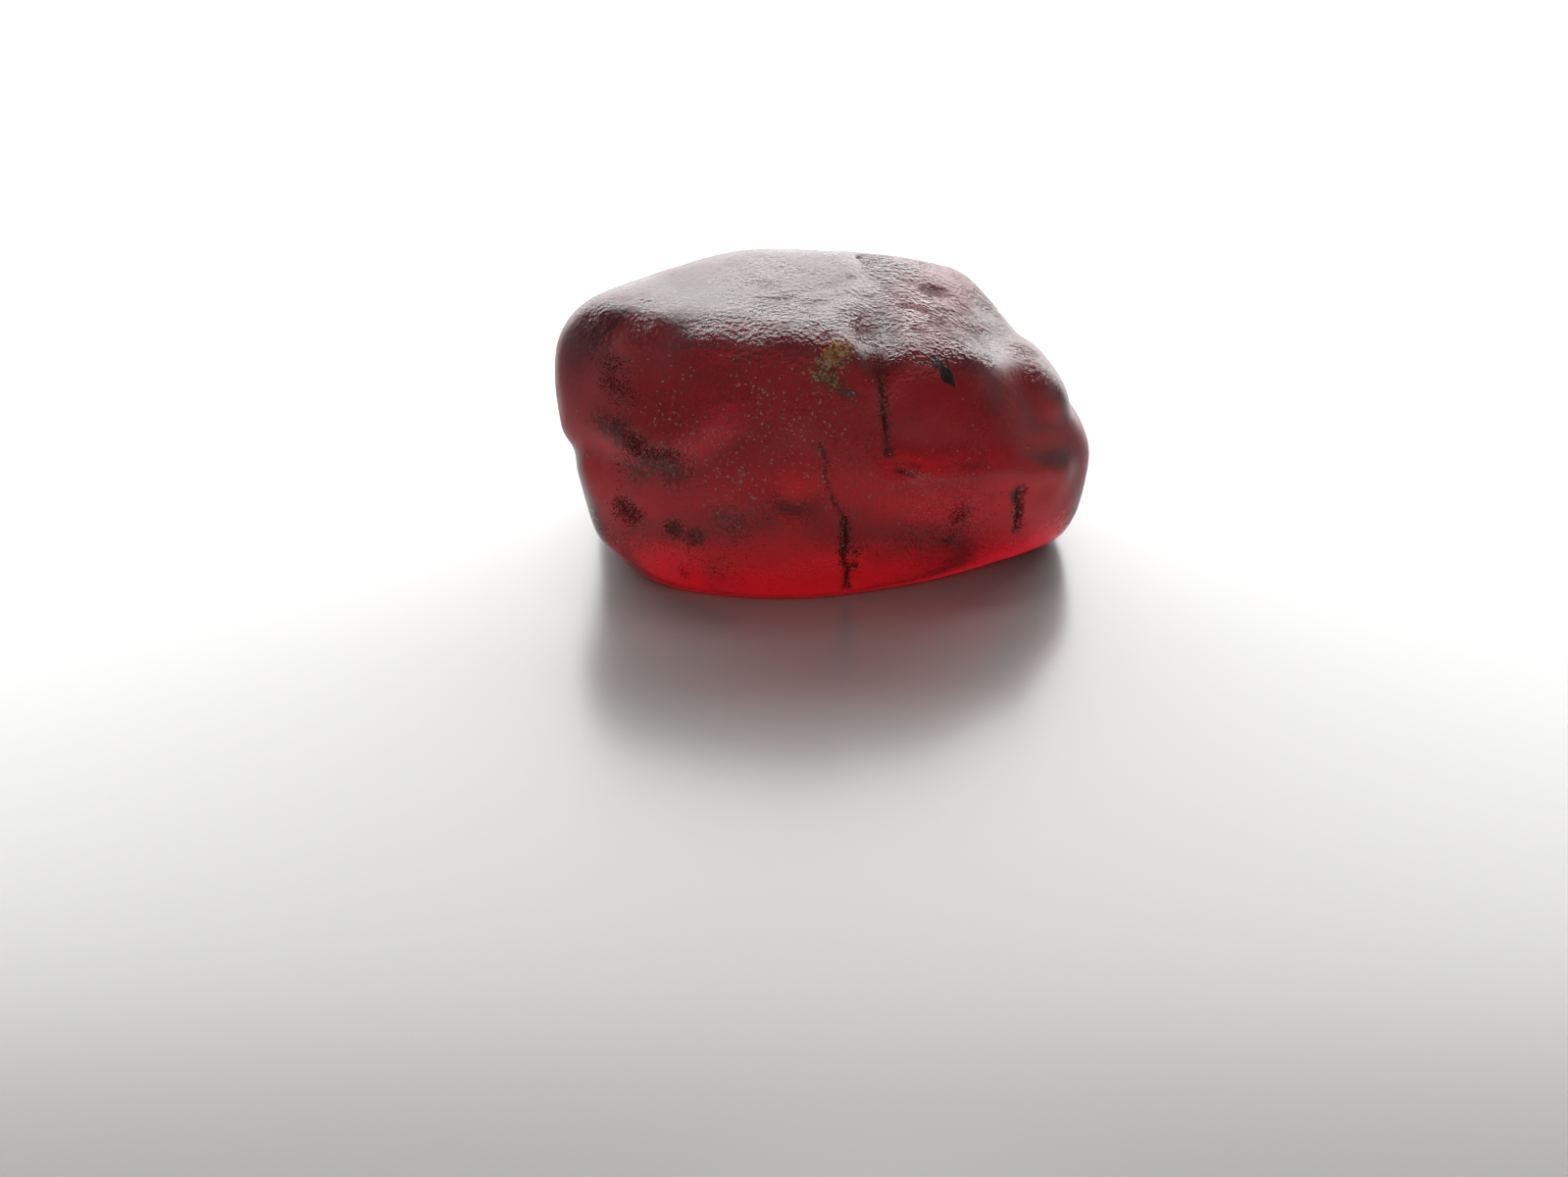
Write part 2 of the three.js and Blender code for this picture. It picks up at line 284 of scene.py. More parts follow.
# Films sealed in the stone: path, half depth, half thickness, cover over them, seed, and whether they stand
# square to the skin.
CRACK_FILMS = {
    "lower_crack_film": (LOWER_CRACK[3:], 0.5, 0.045, 0.1, 71, True),
    "upper_crack_film": (UPPER_CRACK[1:5], 0.5, 0.045, 0.1, 72, True),
    "right_crack_film": (RIGHT_CRACK, 0.5, 0.06, 0.1, 73, True),
}
LENS_FILM = (DARK_LENS, 0.25, 0.07, 0.03, 83, False)

# Soft lights, in metres: place, the point they face, width and height.
LAMPS = {
    "window": ((-0.04, 0.39, 0.23), (-0.04, 0.0, 0.08), 1.1, 0.42),
    "left_side": ((-0.42, 0.02, 0.16), (0.0, 0.0, 0.0), 0.40, 0.26),
    "right_side": ((0.42, 0.02, 0.16), (0.0, 0.0, 0.0), 0.40, 0.26),
    "sky": ((0.03, 0.14, 0.42), (0.0, 0.0, 0.0), 0.09, 0.09),
}
FLOOR_HALF = 1.5
FLOOR_LEVEL = -0.00003


def turned(turn, tilt):
    """Unit direction for a turn around the stone and a tilt up from level, in degrees."""
    a, e = math.radians(turn), math.radians(tilt)
    return (math.cos(e) * math.sin(a), -math.cos(e) * math.cos(a), math.sin(e))


FACE_DIRECTIONS = np.array([turned(turn, tilt) for turn, tilt, _ in FACES])
FACE_DISTANCES = np.array([distance for _, _, distance in FACES])


def path_distance_squared(points, path):
    """Squared distance from each point to the nearest place on a path of straight steps: on each step, the
    point's shadow along the step, kept between its ends, is the nearest place."""
    nearest = np.full(points.shape[:-1], np.inf)
    for start, end in zip(path[:-1], path[1:]):
        start, step = np.array(start), np.array(end) - np.array(start)
        along = np.clip((points - start) @ step / (step @ step), 0.0, 1.0)
        gap = points - start - along[..., None] * step
        nearest = np.minimum(nearest, (gap**2).sum(-1))
    return nearest


def height_above_skin(points):
    """Below zero in the stone and zero on its skin. Each face is a plane; the logarithm of the sum of the
    exponentials of their heights follows the highest one and rounds each edge. Hollows fall off as the
    exponential of minus distance to the fourth, grooves as a bell curve across their path, and the level
    resting side is the last cut."""
    heights = ((points - HEART) @ FACE_DIRECTIONS.T - FACE_DISTANCES) / EDGE_WEAR
    highest = heights.max(-1)
    total = np.exp(heights - highest[..., None]).sum(-1)
    height = EDGE_WEAR * (highest + np.log(total))
    for middle, reach, depth in SPOTS:
        spread = (((points - np.array(middle)) / np.array(reach)) ** 2).sum(-1)
        height += depth * np.exp(-(spread**2))
    for path, reach, depth in GROOVES:
        height += depth * np.exp(-path_distance_squared(points, path) / reach**2)
    return np.maximum(height, -points[..., 2])


def skin_points(directions, halvings=26):
    """Where rays from the heart leave the stone: the span from 2 to 20 mm is halved again and again, keeping
    the half in which the height changes sign."""
    inside = np.full(len(directions), 2.0)
    outside = np.full(len(directions), 20.0)
    for _ in range(halvings):
        middle = (inside + outside) / 2
        under = height_above_skin(HEART + middle[:, None] * directions) < 0
        inside = np.where(under, middle, inside)
        outside = np.where(under, outside, middle)
    return HEART + inside[:, None] * directions


def skin_directions(points, step=0.03):
    """Outward directions of the skin: the height's change over a small step each way along X, Y and Z."""
    slope = np.zeros_like(points)
    for axis in range(3):
        shift = np.zeros(3)
        shift[axis] = step
        slope[:, axis] = height_above_skin(points + shift) - height_above_skin(points - shift)
    return slope / np.linalg.norm(slope, axis=1, keepdims=True)


# ---- rough patterns, as whole arrays ----


def scattered(cells, seed):
    """A number from 0 to 1 for each whole-number cell, by mixing its three numbers and a seed bit by bit."""
    with np.errstate(over="ignore"):
        c = cells.astype(np.int64).astype(np.uint32)
        n = c[..., 0] * np.uint32(374761393) + c[..., 1] * np.uint32(668265263)
        n = n + c[..., 2] * np.uint32(2246822519) + np.uint32(seed) * np.uint32(3266489917)
        n = (n ^ (n >> np.uint32(13))) * np.uint32(1274126177)
        n = (n ^ (n >> np.uint32(15))) * np.uint32(2654435761)
        n = n ^ (n >> np.uint32(16))
    return n.astype(np.float64) / 4294967295.0


def lumps(points, size, seed):
    """Smooth lumps from -1 to 1: scattered numbers at the corners of cubes of that size, blended across each
    cube with a weight that starts and ends level."""
    place = points / size
    corner = np.floor(place)
    part = place - corner
    part = part * part * (3.0 - 2.0 * part)
    value = np.zeros(points.shape[:-1])
    for x in (0, 1):
        for y in (0, 1):
            for z in (0, 1):
                weight = (
                    (part[..., 0] if x else 1 - part[..., 0])
                    * (part[..., 1] if y else 1 - part[..., 1])
                    * (part[..., 2] if z else 1 - part[..., 2])
                )
                value += weight * scattered(corner + np.array([x, y, z]), seed)
    return 2.0 * value - 1.0


def wandering(points, size, seed):
    """Three sets of lumps side by side, to shift points along X, Y and Z."""
    return np.stack([lumps(points, size, seed + k) for k in range(3)], -1)


def pits(points, size, seed, share):
    """Depth from 0 to 1 of round pits, one at most in each cube of that size and in only a share of them. A
    pit's reach is 0.28 to 0.58 of the cube, and its depth is one minus the square of distance over reach."""
    corner = np.floor(points / size)
    depth = np.zeros(points.shape[:-1])
    for x in (-1, 0, 1):
        for y in (-1, 0, 1):
            for z in (-1, 0, 1):
                cell = corner + np.array([x, y, z])
                middle = np.stack([scattered(cell, seed + k) for k in range(3)], -1)
                reach = 0.28 + 0.3 * scattered(cell, seed + 3)
                there = scattered(cell, seed + 4) < share
                gap = np.sqrt(((points / size - cell - middle) ** 2).sum(-1)) / reach
                depth = np.maximum(depth, np.where(there, np.clip(1.0 - gap**2, 0.0, 1.0), 0.0))
    return depth


def near_path(points, path, reach):
    """1 on a path, fading as a bell curve over its reach."""
    return np.exp(-path_distance_squared(points, path) / reach**2)


def near_spot(points, middle, reach):
    """1 at a place, fading as a bell curve over its reach."""
    return np.exp(-(((points - np.array(middle)) / np.array(reach)) ** 2).sum(-1))


def within(points, path, half_width, fade):
    """1 nearer to a path than its half width, falling evenly to 0 over the fade."""
    return np.clip(1.0 + (half_width - np.sqrt(path_distance_squared(points, path))) / fade, 0.0, 1.0)


# ---- meshes ----


def cube_ball(cuts):
    """Closed net over a ball: each side of a cube is a square grid, the grids share their edge points, and a
    point's three numbers are spread by the tangent so that the squares come out even. Gives unit-cube
    points and four-cornered faces that look outwards."""
    i, j = np.meshgrid(np.arange(cuts + 1), np.arange(cuts + 1), indexing="ij")
    low, high = np.zeros_like(i), np.full_like(i, cuts)
    sides = [(high, i, j), (low, j, i), (j, high, i), (i, low, j), (i, j, high), (j, i, low)]
    lattice = np.concatenate([np.stack(side, -1).reshape(-1, 3) for side in sides])
    corners, where = np.unique(lattice, axis=0, return_inverse=True)
    where = where.reshape(6, cuts + 1, cuts + 1)
    faces = np.stack([where[:, :-1, :-1], where[:, 1:, :-1], where[:, 1:, 1:], where[:, :-1, 1:]], -1)
    points = np.tan((2.0 * corners / cuts - 1.0) * math.pi / 4)
    return points, faces.reshape(-1, 4)


def sweep(path, across, thick, sides, side_direction):
    """A flattened closed tube: at each place on the path stands an ellipse with half width across along the
    side direction and half thickness thick along the direction square to both, and each end closes in one
    point. Gives points and faces."""
    path = np.asarray(path, float)
    along = np.gradient(path, axis=0)
    along /= np.linalg.norm(along, axis=1, keepdims=True)
    wide = side_direction - (side_direction * along).sum(1, keepdims=True) * along
    wide /= np.linalg.norm(wide, axis=1, keepdims=True)
    flat = np.cross(along, wide)
    angle = np.linspace(0, 2 * math.pi, sides, endpoint=False)
    ring = (
        path[:, None]
        + (across[:, None] * np.cos(angle))[..., None] * wide[:, None]
        + (thick[:, None] * np.sin(angle))[..., None] * flat[:, None]
    )
    rings = len(path)
    points = np.concatenate([ring.reshape(-1, 3), path[:1], path[-1:]])
    a = np.arange(rings - 1)[:, None] * sides + np.arange(sides)
    b = np.arange(rings - 1)[:, None] * sides + (np.arange(sides) + 1) % sides
    walls = np.stack([a, b, b + sides, a + sides], -1).reshape(-1, 4)
    first, last = rings * sides, rings * sides + 1
    k, n = np.arange(sides), (np.arange(sides) + 1) % sides
    end = (rings - 1) * sides
    first_cap = np.stack([np.full(sides, first), n, k], -1)
    last_cap = np.stack([np.full(sides, last), end + k, end + n], -1)
    return points, [walls, first_cap, last_cap]


def crumbs(places, outward, sizes, flatness, seed):
    """Small closed lumps: each is a twenty-sided ball whose twelve points are pulled in or out by up to three
    tenths, drawn out one way, pressed flat along its outward direction and turned at random about it."""
    rng = np.random.default_rng(seed)
    g = (1.0 + math.sqrt(5.0)) / 2.0
    ball = np.array(
        [(-1, g, 0), (1, g, 0), (-1, -g, 0), (1, -g, 0), (0, -1, g), (0, 1, g), (0, -1, -g), (0, 1, -g)]
        + [(g, 0, -1), (g, 0, 1), (-g, 0, -1), (-g, 0, 1)]
    ) / math.sqrt(1.0 + g * g)
    sides = np.array(
        [(0, 11, 5), (0, 5, 1), (0, 1, 7), (0, 7, 10), (0, 10, 11)]
        + [(1, 5, 9), (5, 11, 4), (11, 10, 2), (10, 7, 6), (7, 1, 8)]
        + [(3, 9, 4), (3, 4, 2), (3, 2, 6), (3, 6, 8), (3, 8, 9)]
        + [(4, 9, 5), (2, 4, 11), (6, 2, 10), (8, 6, 7), (9, 8, 1)]
    )
    count = len(places)
    local = ball * rng.uniform(0.7, 1.3, (count, 12, 1)) * np.asarray(sizes).reshape(-1, 1, 1)
    pressed = np.stack([rng.uniform(0.8, 1.6, count), np.ones(count), np.full(count, flatness)], -1)
    local = local * pressed[:, None]
    across = np.cross(outward, (0.31, 0.17, 0.93))
    across /= np.linalg.norm(across, axis=1, keepdims=True)
    along = np.cross(outward, across)
    angle = rng.uniform(0, 2 * math.pi, (count, 1))
    first = np.cos(angle) * across + np.sin(angle) * along
    second = np.cross(outward, first)
    axes = np.stack([first, second, outward], 1)
    points = places[:, None] + np.einsum("nki,nij->nkj", local, axes)
    faces = sides[None] + 12 * np.arange(count)[:, None, None]
    return points.reshape(-1, 3), faces.reshape(-1, 3)


def scatter_on_skin(path, reach, count, depth, seed):
    """Places under the skin near a path: scattered about it with a bell curve and laid on the skin along
    their rays. Gives the places, sunk by the depth, and the skin's directions there."""
    rng = np.random.default_rng(seed)
    line = resample(path, 64)
    spread = line[rng.integers(0, 64, count)] + rng.normal(0.0, reach, (count, 3))
    skin = skin_points(unit(spread - HEART))
    outward = skin_directions(skin)
    return skin - depth * outward, outward


def unit(rows):
    """Each row made one long."""
    return rows / np.linalg.norm(rows, axis=1, keepdims=True)


def put_mesh(name, points, faces, material):
    """Puts points given in millimetres from the heart into a smooth mesh in metres, in the frame's place."""
    mesh = bpy.data.meshes.new(name)
    groups = faces if isinstance(faces, list) else [faces]
    flat = [face for group in groups for face in group.tolist()]
    mesh.from_pydata(((points + HEART_OFFSET) * MM).tolist(), [], flat)
    mesh.polygons.foreach_set("use_smooth", np.ones(len(flat), bool))
    mesh.materials.append(material)
    mesh.validate()
    mesh.update()
    piece = bpy.data.objects.new(name, mesh)
    bpy.context.scene.collection.objects.link(piece)
    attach(piece, "root")
    return piece


def put_attribute(piece, name, values):
    """Keeps one number for each point of a piece, for its material to read."""
    attribute = piece.data.attributes.new(name, "FLOAT", "POINT")
    attribute.data.foreach_set("value", np.asarray(values, np.float32))


# ---- materials ----


def linear(hex_colour):
    """sRGB hex to linear red, green, blue and alpha."""
    parts = [int(hex_colour[k : k + 2], 16) / 255 for k in (1, 3, 5)]
    return (*[c / 12.92 if c <= 0.04045 else ((c + 0.055) / 1.055) ** 2.4 for c in parts], 1.0)


def add(tree, kind, inputs=(), **settings):
    """Adds a node: settings are its own properties, and each input is a value or another node's socket."""
    node = tree.nodes.new(kind)
    for key, value in settings.items():
        setattr(node, key, value)
    for key, value in dict(inputs).items():
        if isinstance(value, bpy.types.NodeSocket):
            tree.links.new(value, node.inputs[key])
        else:
            node.inputs[key].default_value = value
    return node


def new_material(name):
    """An empty node material with its output, and coordinates in millimetres."""
    material = bpy.data.materials.new(name)
    material.use_nodes = True
    tree = material.node_tree
    tree.nodes.clear()
    output = add(tree, "ShaderNodeOutputMaterial")
    place = add(tree, "ShaderNodeTexCoord")
    mm = add(tree, "ShaderNodeMapping", {"Vector": place.outputs["Object"], "Scale": (1000, 1000, 1000)})
    return material, tree, output, mm.outputs["Vector"]


def worn_garnet(looks):
    """Worn garnet: a dense see-through red stone, tumbled in gravel until its skin is frosted and pitted.
    Light goes in and out blurred, a thin pale haze lies over the deep red, clear facets stay darker, crushed
    skin scatters the stone's own red, crazed skin carries a painted red glow, and the scaled edges break the
    light into bright points."""
    material, tree, output, mm = new_material("worn_garnet")
    frost, haze, scales, rust, blush, painted_glow = [
        add(tree, "ShaderNodeAttribute", attribute_name=name).outputs["Fac"]
        for name in ("frost", "haze", "scales", "rust", "blush", "painted_glow")
    ]

    # Rust stains have dried along a net of fine lines 0.3 mm apart, in clots of about 0.5 mm.
    clots = add(
        tree, "ShaderNodeTexNoise",
        {"Vector": mm, "Scale": 2.0, "Detail": 5.0, "Roughness": 0.7, "Distortion": 1.0},
    )
    broken = add(
        tree, "ShaderNodeMapRange",
        {"Value": clots.outputs["Fac"], "From Min": 0.35, "From Max": 0.6, "To Min": 0.3, "To Max": 1.0},
    )
    bent = add(
        tree, "ShaderNodeVectorMath", {0: clots.outputs["Color"], 1: (0.35, 0.35, 0.35), 2: mm},
        operation="MULTIPLY_ADD",
    )
    net = add(
        tree, "ShaderNodeTexVoronoi", {"Vector": bent.outputs["Vector"], "Scale": 3.2},
        feature="DISTANCE_TO_EDGE",
    )
    lines = add(
        tree, "ShaderNodeMapRange",
        {"Value": net.outputs["Distance"], "From Min": 0.05, "From Max": 0.22, "To Min": 1.0, "To Max": 0.3},
    )
    dried = add(
        tree, "ShaderNodeMath", {0: broken.outputs["Result"], 1: lines.outputs["Result"]},
        operation="MULTIPLY",
    )
    rust_share = add(tree, "ShaderNodeMath", {0: rust, 1: dried.outputs["Value"]}, operation="MULTIPLY")
    rust_tint = add(tree, "ShaderNodeTexNoise", {"Vector": mm, "Scale": 1.6, "Detail": 3.0})
    rust_colour = add(
        tree, "ShaderNodeMix",
        {"Factor": rust_tint.outputs["Fac"], "A": linear(looks.rust_hex), "B": linear(looks.light_rust_hex)},
        data_type="RGBA",
    )

    # Each layer over the haze: its share, its colour, the share that already sets the colour, because the
    # haze itself scatters little, and how much light goes on through the full layer.
    layers = (
        (blush, linear(looks.crushed_hex), 0.35, looks.crushed_transmission),
        # The crazed layer's bright red is a painted glow, standing in for the red light that comes out of the
        # stone at its ends.
        (painted_glow, linear(looks.painted_glow_hex), 0.3, looks.crazed_transmission),
        (rust_share.outputs["Value"], rust_colour.outputs["Result"], 0.3, looks.rust_transmission),
    )
    veil = add(tree, "ShaderNodeRGB")
    veil.outputs["Color"].default_value = linear(looks.veil_hex)
    colour = veil.outputs["Color"]
    clear_skin = add(
        tree, "ShaderNodeMapRange",
        {"Value": haze, "To Min": looks.transmission, "To Max": looks.haze_transmission},
    )
    clear = clear_skin.outputs["Result"]
    for share, layer_colour, full_at, passed in layers:
        cover = add(tree, "ShaderNodeMapRange", {"Value": share, "From Max": full_at})
        mixed = add(
            tree, "ShaderNodeMix", {"Factor": cover.outputs["Result"], "A": colour, "B": layer_colour},
            data_type="RGBA",
        )
        colour = mixed.outputs["Result"]
        left = add(tree, "ShaderNodeMapRange", {"Value": share, "To Min": 1.0, "To Max": passed})
        product = add(tree, "ShaderNodeMath", {0: clear, 1: left.outputs["Result"]}, operation="MULTIPLY")
        clear = product.outputs["Value"]

    # The frosting's own grain is about 0.05 mm; it is drawn at 0.2 mm and finer so that it shows.
    grain = add(tree, "ShaderNodeTexNoise", {"Vector": mm, "Scale": 4.5, "Detail": 5.0, "Roughness": 0.65})
    rough_skin = add(
        tree, "ShaderNodeMapRange",
        {"Value": frost, "To Min": looks.clear_roughness, "To Max": looks.frost_roughness},
    )
    rough_crushed = add(
        tree, "ShaderNodeMath", {0: blush, 1: 0.08, 2: rough_skin.outputs["Result"]}, operation="MULTIPLY_ADD"
    )
    rough_crazed = add(
        tree, "ShaderNodeMath", {0: painted_glow, 1: 0.3, 2: rough_crushed.outputs["Value"]}, operation="MULTIPLY_ADD"
    )
    rough_scales = add(
        tree, "ShaderNodeMix",
        {"Factor": scales, "A": rough_crazed.outputs["Value"], "B": looks.scale_roughness},
        data_type="FLOAT",
    )
    rough_sway = add(
        tree, "ShaderNodeMapRange", {"Value": grain.outputs["Fac"], "To Min": -0.08, "To Max": 0.08}
    )
    rough = add(
        tree, "ShaderNodeMath", {0: rough_scales.outputs["Result"], 1: rough_sway.outputs["Result"]},
        operation="ADD", use_clamp=True,
    )

    # Grain first, then the scales: crisp dents 0.2 mm apart with 0.1 mm ones between them.
    grain_strength = add(tree, "ShaderNodeMapRange", {"Value": frost, "To Min": 0.15, "To Max": 0.9})
    grain_bump = add(
        tree, "ShaderNodeBump",
        {"Height": grain.outputs["Fac"], "Strength": grain_strength.outputs["Result"], "Distance": 0.04 * MM},
    )
    dents = add(tree, "ShaderNodeTexVoronoi", {"Vector": mm, "Scale": 4.2, "Randomness": 1.0})
    small_dents = add(tree, "ShaderNodeTexVoronoi", {"Vector": mm, "Scale": 9.0, "Randomness": 1.0})
    dent_height = add(
        tree, "ShaderNodeMath",
        {0: small_dents.outputs["Distance"], 1: 0.5, 2: dents.outputs["Distance"]}, operation="MULTIPLY_ADD",
    )
    bump = add(
        tree, "ShaderNodeBump",
        {
            "Height": dent_height.outputs["Value"],
            "Strength": scales,
            "Distance": looks.scale_depth,
            "Normal": grain_bump.outputs["Normal"],
        },
    )
    shader = add(
        tree, "ShaderNodeBsdfPrincipled",
        {
            "Base Color": colour,
            "Roughness": rough.outputs["Value"],
            "Normal": bump.outputs["Normal"],
            "IOR": 1.76,
            "Transmission Weight": clear,
        },
    )
    body = add(
        tree, "ShaderNodeVolumeAbsorption",
        {
            "Color": (looks.red_share, looks.green_share, looks.blue_share, 1.0),
            "Density": looks.colour_depth,
        },
    )
    tree.links.new(shader.outputs["BSDF"], output.inputs["Surface"])
    tree.links.new(body.outputs["Volume"], output.inputs["Volume"])
    return material


def dull_mineral(name):
    """Dull, grainy mineral: iron oxide that has dried in an old crack, or a soft mineral grown into the
    stone. Its two tones vary over 0.4 mm and it has hardly any shine."""
    dark_hex, light_hex, roughness = MINERALS[name]
    material, tree, output, mm = new_material(name)
    grain = add(
        tree, "ShaderNodeTexNoise", {"Vector": mm, "Scale": 2.4, "Detail": 6.0, "Roughness": 0.7}
    )
    share = add(
        tree, "ShaderNodeMapRange", {"Value": grain.outputs["Fac"], "From Min": 0.35, "From Max": 0.65}
    )
    colour = add(
        tree, "ShaderNodeMix",
        {"Factor": share.outputs["Result"], "A": linear(dark_hex), "B": linear(light_hex)},
        data_type="RGBA",
    )
    bump = add(
        tree, "ShaderNodeBump", {"Height": grain.outputs["Fac"], "Strength": 0.6, "Distance": 0.05 * MM}
    )
    shader = add(
        tree, "ShaderNodeBsdfPrincipled",
        {
            "Base Color": colour.outputs["Result"],
            "Roughness": roughness,
            "Normal": bump.outputs["Normal"],
        },
    )
    tree.links.new(shader.outputs["BSDF"], output.inputs["Surface"])
    return material


def pale_laminate(colour_hex, roughness):
    """Pale laminate for the floor: a pressed sheet under a clear coat, which mirrors the light softly at a
    low angle."""
    material, tree, output, _ = new_material("pale_laminate")
    shader = add(
        tree, "ShaderNodeBsdfPrincipled",
        {
            "Base Color": linear(colour_hex), "Roughness": roughness, "IOR": 1.6,
            "Coat Weight": 1.0, "Coat Roughness": 0.22, "Coat IOR": 1.6,
        },
    )
    tree.links.new(shader.outputs["BSDF"], output.inputs["Surface"])
    return material


# ---- settings ----


def share_setting(name, description, default):
    """A setting that is a share from 0 to 1."""
    return FloatProperty(
        name=name, description=description, default=default, min=0.0, max=1.0, subtype="FACTOR"
    )


class GarnetStoneSettings(bpy.types.PropertyGroup):
    """Sizes and looks of the stone itself."""

    cuts: IntProperty(
        name="Skin cuts", description="Squares along each side of the skin's net",
        default=124, min=16, max=128,
    )
    relief: FloatProperty(
        name="Relief", description="Depth of the fine pits and scales, as a share of the real one",
        default=1.0, min=0.0, max=2.0, subtype="FACTOR",
    )
    veil_hex: StringProperty(
        name="Veil", description="Colour of the frosted skin, as sRGB hex",
        default="#E2BCCB",
    )
    clear_roughness: share_setting("Clear facet roughness", "Roughness where wear left a clear facet", 0.14)
    frost_roughness: share_setting("Frost roughness", "Roughness of the frosted skin", 0.36)
    crushed_hex: StringProperty(
        name="Crushed skin", description="Colour of the finely crushed skin, as sRGB hex",
        default="#D04A58",
    )
    crushed_transmission: share_setting(
        "Crushed see-through share", "Share of light that goes into the finely crushed skin", 0.5
    )
    # Painted glow: this bright red stands in for the stone's red light coming out where the skin is crazed.
    painted_glow_hex: StringProperty(
        name="Crazed skin",
        description="Colour where fine cracks under the skin scatter the stone's red, as sRGB hex",
        default="#F04454",
    )
    crazed_transmission: share_setting(
        "Crazed see-through share", "Share of light that goes on through the crazed skin", 0.3
    )
    scale_roughness: share_setting("Scale roughness", "Roughness of the scaled edges", 0.12)
    scale_depth: FloatProperty(
        name="Scale depth", description="Depth of the finest scales",
        default=0.0003, min=0.0, unit="LENGTH",
    )
    rust_hex: StringProperty(
        name="Rust", description="Darker colour of the rust stains, as sRGB hex",
        default="#6E1E18",
    )
    light_rust_hex: StringProperty(
        name="Light rust", description="Lighter colour of the rust stains, as sRGB hex",
        default="#9C3A30",
    )
    rust_transmission: share_setting(
        "Rust see-through share", "Share of light that goes on through the thickest rust", 0.3
    )
    transmission: share_setting("See-through share", "Share of light that goes into the clear facets", 0.995)
    haze_transmission: share_setting(
        "Hazy see-through share", "Share of light that goes into the haziest skin", 0.95
    )
    red_share: share_setting("Red passed", "Red share of the absorption colour", 0.79)
    green_share: share_setting("Green passed", "Green share of the absorption colour", 0.02)
    blue_share: share_setting("Blue passed", "Blue share of the absorption colour", 0.24)
    colour_depth: FloatProperty(
        name="Colour depth", description="How fast the stone takes up light, per metre",
        default=425.0, min=0.0,
    )


class GarnetStageSettings(bpy.types.PropertyGroup):
    """Floor, light and camera."""

    floor_hex: StringProperty(
        name="Floor", description="Floor colour, as sRGB hex",
        default="#D2D1CF",
    )
    floor_roughness: share_setting("Floor roughness", "Roughness of the floor", 0.28)
    window: FloatProperty(
        name="Back light", description="Brightness of the wide light behind the stone",
        default=3.2, min=0.0,
    )
    sky: FloatProperty(
        name="Sky light", description="Brightness of the small light high up behind the stone",
        default=5.0, min=0.0,
    )
    left: FloatProperty(
        name="Left light", description="Brightness of the soft light on the left",
        default=0.3, min=0.0,
    )
    right: FloatProperty(
        name="Right light", description="Brightness of the soft light on the right",
        default=0.2, min=0.0,
    )
    fill: FloatProperty(
        name="Room light", description="Brightness of the light from all around",
        default=0.10, min=0.0,
    )
    view_tilt: FloatProperty(
        name="View tilt", description="How far down the camera looks",
        default=math.radians(31), subtype="ANGLE",
    )
    view_width: FloatProperty(
        name="View width", description="Angle that the picture's width takes in",
        default=math.radians(63.18), subtype="ANGLE",
    )
    camera_place: FloatVectorProperty(
        name="Camera place", description="Where the camera stands",
        default=(-0.002034, -0.057343, 0.0307), subtype="TRANSLATION", unit="LENGTH",
    )


# ---- builders ----


def scaled(points):
    """How scaled the skin is, from 0 to 1: bell curves round the worn edges, the scaly facet with its own
    sharp limits, and a weaker share over the top."""
    waver = points + 0.25 * wandering(points, 0.9, 55)
    right = np.clip((points[:, 0] + 7.0) / 4.0, 0.35, 1.0)
    marks = 0.95 * right * near_path(points, FRONT_EDGE, 1.2)
    marks = np.maximum(marks, within(waver, SCALY_FACET, 1.15, 0.25))
    marks = np.maximum(marks, 0.6 * near_path(points, RIDGE, 0.8))
    marks = np.maximum(marks, 0.9 * near_path(waver, RIGHT_LINE, 0.25))
    for middle, reach, strength in BRIGHT_SPOTS:
        marks = np.maximum(marks, strength * near_spot(points, middle, (reach, reach, reach)))
    top = np.clip((points[:, 2] - 11.4) / 0.6, 0.0, 1.0) * np.clip((4.5 - points[:, 1]) / 5.0, 0.0, 1.0)
    marks = np.maximum(marks, 0.35 * right * top)
    far = np.clip((points[:, 0] - 2.3) / 0.6, 0.0, 1.0) * np.clip((points[:, 2] - 9.8) / 0.6, 0.0, 1.0)
    marks = np.maximum(marks, 0.5 * far)
    patches = 0.75 + 0.5 * lumps(points, 1.3, 58) + 0.35 * lumps(points, 0.6, 59)
    return np.clip(marks * patches, 0.0, 1.0)


def relief(points):
    """Fine depth of the skin in millimetres, below zero into the stone: slow waves everywhere, a ragged
    front edge, round pits 1 mm apart that are deeper where the skin is scaled, folds and crack grooves."""
    scales = scaled(points)
    # Slow waves, and finer ones where the skin is scaled.
    depth = 0.04 * lumps(points, 2.6, 11) + 0.02 * lumps(points, 1.2, 12)
    depth += (0.15 + scales) * 0.03 * lumps(points, 0.8, 13)
    # The front edge is ragged by up to 0.15 mm each way.
    edge = near_path(points, FRONT_EDGE, 1.0)
    depth += edge * (0.10 * lumps(points, 1.4, 15) + 0.05 * lumps(points, 0.8, 16))
    # Round pits, folds that reach 0.4 mm to each side, and the cracks' grooves.
    depth -= (0.1 + 0.6 * scales) * 0.08 * pits(points, 1.0, 21, 0.3)
    for path in FOLDS:
        depth -= 0.08 * near_path(points, path, 0.4) * (0.7 + 0.6 * lumps(points, 0.9, 17))
    wander = 0.12 * wandering(points, 0.7, 51)
    for path, half_width, groove, _ in CRACKS:
        depth -= groove * near_path(points + wander, path, half_width)
    return depth


